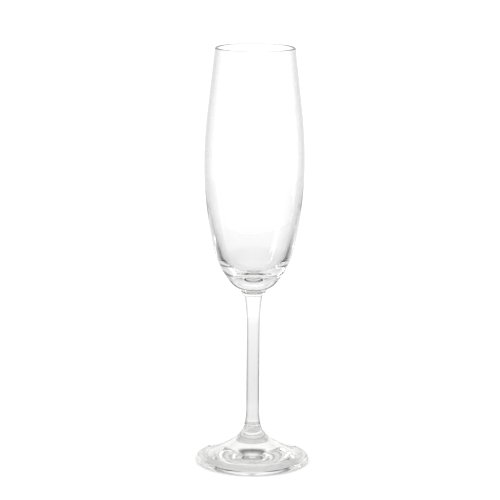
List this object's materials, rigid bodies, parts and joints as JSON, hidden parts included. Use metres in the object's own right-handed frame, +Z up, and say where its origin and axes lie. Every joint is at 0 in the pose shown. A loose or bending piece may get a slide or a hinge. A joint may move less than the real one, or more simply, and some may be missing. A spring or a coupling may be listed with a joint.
{
  "type": "champagne flute",
  "caption": "Clear glass flute: a tall egg-shaped bowl drawn in at the rim, a collar bead, a slim stem and a shallow conical foot with a domed recess underneath.",
  "frame": {"origin": "centre of the foot, on the surface that the glass stands on", "axes": "+Z up along the axis of the glass, from the foot to the rim; the glass is round, so +X and +Y are any two level directions"},
  "size_m": [0.0624, 0.0624, 0.23],
  "materials": {
    "glass": "clear, fire polished, very faint green-grey in thick sections"
  },
  "bodies": {
    "root": {"bowl": "glass", "collar": "glass", "stem": "glass", "foot": "glass"}
  },
  "joints": []
}
